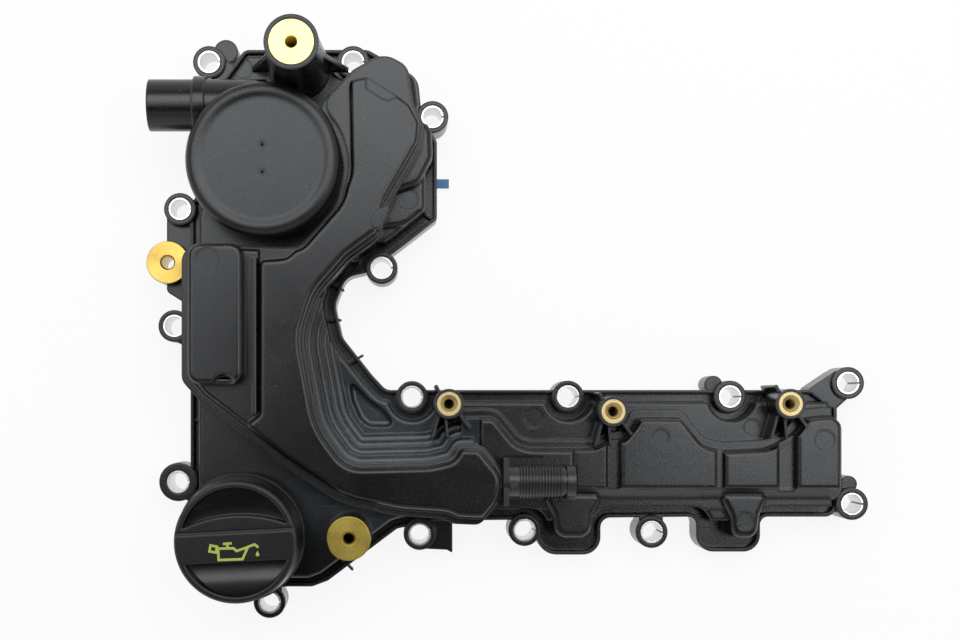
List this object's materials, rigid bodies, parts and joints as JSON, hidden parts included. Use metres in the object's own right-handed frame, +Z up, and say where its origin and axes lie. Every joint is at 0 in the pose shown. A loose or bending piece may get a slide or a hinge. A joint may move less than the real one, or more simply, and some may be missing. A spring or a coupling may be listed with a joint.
{
  "type": "engine valve cover",
  "caption": "L-shaped plastic engine valve cover with oil separator, pressure regulator, breather outlet, filler cap, brass inserts and gasket.",
  "frame": {"origin": "axis of the bolt sleeve at the inside corner of the L, on the sealing face", "axes": "+X along the long arm, +Y along the short arm, +Z up, away from the sealing face"},
  "size_m": [0.3605, 0.29, 0.089],
  "materials": {
    "housing_plastic": "black glass-filled plastic, fine sheen",
    "lid_plastic": "black glass-filled plastic, satin",
    "cap_plastic": "black plastic, eroded mould finish",
    "tube_plastic": "black plastic",
    "inner_plastic": "natural black plastic",
    "rubber": "moulded rubber",
    "gasket_rubber": "blue moulded rubber",
    "fleece": "needled fleece",
    "brass": "turned brass",
    "sleeve_steel": "zinc-plated rolled steel",
    "spring_steel": "spring wire"
  },
  "bodies": {
    "cover": {"main_housing": "housing_plastic", "separator_cover": "lid_plastic", "impactor_plate": "inner_plastic", "fleece_pad": "fleece", "drain_valve": "rubber", "pcv_cap": "cap_plastic", "pcv_diaphragm": "rubber", "pcv_spring": "spring_steel", "gasket": "gasket_rubber", "ribbed_tube": "tube_plastic", "post_insert": "brass", "pillar_insert": "brass", "ear_bush": "brass", "small_insert_1": "brass", "small_insert_2": "brass", "small_insert_3": "brass", "bolt_sleeve_01": "sleeve_steel", "bolt_sleeve_02": "sleeve_steel", "bolt_sleeve_03": "sleeve_steel", "bolt_sleeve_04": "sleeve_steel", "bolt_sleeve_05": "sleeve_steel", "bolt_sleeve_06": "sleeve_steel", "bolt_sleeve_07": "sleeve_steel", "bolt_sleeve_08": "sleeve_steel", "bolt_sleeve_09": "sleeve_steel", "bolt_sleeve_10": "sleeve_steel", "bolt_sleeve_11": "sleeve_steel", "bolt_sleeve_12": "sleeve_steel", "bolt_sleeve_13": "sleeve_steel", "bolt_sleeve_14": "sleeve_steel", "bolt_sleeve_15": "sleeve_steel", "bolt_sleeve_16": "sleeve_steel"},
    "filler_cap": {"filler_cap": "cap_plastic", "filler_cap_core": "inner_plastic", "filler_cap_seal": "rubber"},
    "plunger": {"pcv_plunger": "inner_plastic"}
  },
  "joints": [
    {"name": "filler_cap_turn", "type": "hinge", "parent": "cover", "child": "filler_cap", "pos_m": [-0.0828, -0.0679, 0.052], "axis": [0, 0, 1], "range_deg": [0, 90]},
    {"name": "plunger_stroke", "type": "slide", "parent": "cover", "child": "plunger", "axis": [0, 0, 1], "range_m": [-0.0037, 0], "stiffness_N_per_m": 300, "springref_m": 0.002, "deforming": ["pcv_spring", "pcv_diaphragm"]}
  ]
}
